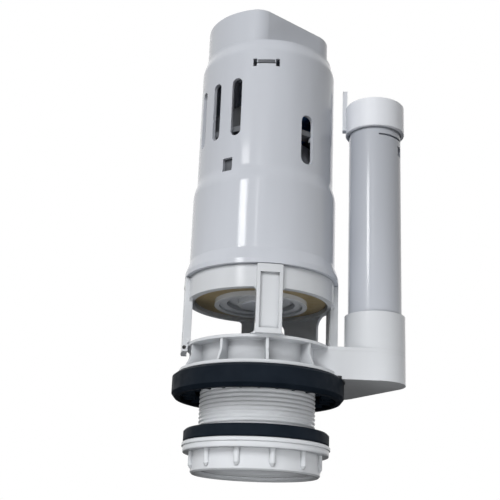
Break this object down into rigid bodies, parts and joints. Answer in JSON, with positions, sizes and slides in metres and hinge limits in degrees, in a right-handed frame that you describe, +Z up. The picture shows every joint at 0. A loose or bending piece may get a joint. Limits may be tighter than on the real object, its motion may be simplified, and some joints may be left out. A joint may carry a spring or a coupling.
{
  "type": "toilet flush valve",
  "caption": "Bottom-outlet toilet flush valve: threaded tail with back nut, open cage, stepped casing with a D-shaped head, and overflow tube.",
  "frame": {"origin": "on the outlet's axis at the underside of the flange seal, which is the cistern floor's upper face", "axes": "+Z up along the valve's axis, +X towards the overflow tube"},
  "size_m": [0.1202, 0.0931, 0.245],
  "materials": {
    "casing_plastic": "gloss",
    "base_plastic": "satin",
    "bright_plastic": "gloss",
    "black_rubber": "satin",
    "tan_rubber": "matt",
    "grey_plastic": "satin",
    "blue_plastic": "satin"
  },
  "bodies": {
    "base": {"tail": "base_plastic", "base_body": "base_plastic", "cage": "base_plastic", "overflow_elbow": "base_plastic", "arm_cover": "base_plastic", "tube_socket": "base_plastic", "flange_seal": "black_rubber", "overflow_tube": "casing_plastic", "tube_seal": "black_rubber"},
    "washer": {"nut_washer": "black_rubber"},
    "nut": {"back_nut": "base_plastic"},
    "riser": {"overflow_riser": "bright_plastic"},
    "upper_unit": {"casing": "casing_plastic", "carrier": "grey_plastic", "full_rocker_pin": "grey_plastic", "half_rocker_pin": "grey_plastic"},
    "full_float": {"full_float": "casing_plastic"},
    "stem": {"valve_stem": "casing_plastic", "valve_seal": "tan_rubber", "seal_retainer": "base_plastic"},
    "half_float": {"half_float": "casing_plastic", "half_float_clip": "blue_plastic"},
    "full_plunger": {"full_plunger": "bright_plastic"},
    "half_plunger": {"half_plunger": "bright_plastic"},
    "full_rocker": {"full_rocker": "blue_plastic"},
    "half_rocker": {"half_rocker": "blue_plastic"}
  },
  "joints": [
    {"name": "washer_slide", "type": "slide", "parent": "base", "child": "washer", "axis": [0, 0, 1], "range_m": [0, 0.014]},
    {"name": "nut_turn", "type": "hinge", "parent": "washer", "child": "nut", "pos_m": [0, 0, -0.03], "axis": [0, 0, 1], "range_deg": [0, 2400]},
    {"name": "riser_slide", "type": "slide", "parent": "base", "child": "riser", "axis": [0, 0, 1], "range_m": [0, 0.01]},
    {"name": "bayonet_twist", "type": "hinge", "parent": "base", "child": "upper_unit", "pos_m": [0, 0, 0.066], "axis": [0, 0, 1], "range_deg": [0, 20]},
    {"name": "full_lift", "type": "slide", "parent": "upper_unit", "child": "full_float", "axis": [0, 0, 1], "range_m": [-0.0238, 0]},
    {"name": "stem_lift", "type": "slide", "parent": "full_float", "child": "stem", "axis": [0, 0, 1], "range_m": [0, 0.012]},
    {"name": "half_float_adjust", "type": "slide", "parent": "stem", "child": "half_float", "axis": [0, 0, 1], "range_m": [-0.006, 0.006]},
    {"name": "full_plunger_press", "type": "slide", "parent": "upper_unit", "child": "full_plunger", "axis": [0, 0, 1], "range_m": [0, 0.0068]},
    {"name": "half_plunger_press", "type": "slide", "parent": "upper_unit", "child": "half_plunger", "axis": [0, 0, 1], "range_m": [-0.004, 0]},
    {"name": "full_rocker_turn", "type": "hinge", "parent": "upper_unit", "child": "full_rocker", "pos_m": [-0.01443, 0.0166, 0.15], "axis": [0.7547, 0.6561, 0], "range_deg": [0, 59.45]},
    {"name": "half_rocker_turn", "type": "hinge", "parent": "upper_unit", "child": "half_rocker", "pos_m": [0.01443, -0.0166, 0.148], "axis": [0.7547, 0.6561, 0], "range_deg": [0, 28.95]}
  ],
  "couplings": [
    {"joint": "washer_slide", "follows": "nut_turn", "m_per_rad": 0.00033423},
    {"joint": "full_plunger_press", "follows": "full_lift", "ratio": -0.28571},
    {"joint": "full_rocker_turn", "follows": "full_lift", "rad_per_m": -43.596},
    {"joint": "half_plunger_press", "follows": "stem_lift", "ratio": -0.33333},
    {"joint": "half_rocker_turn", "follows": "stem_lift", "rad_per_m": 42.113}
  ]
}
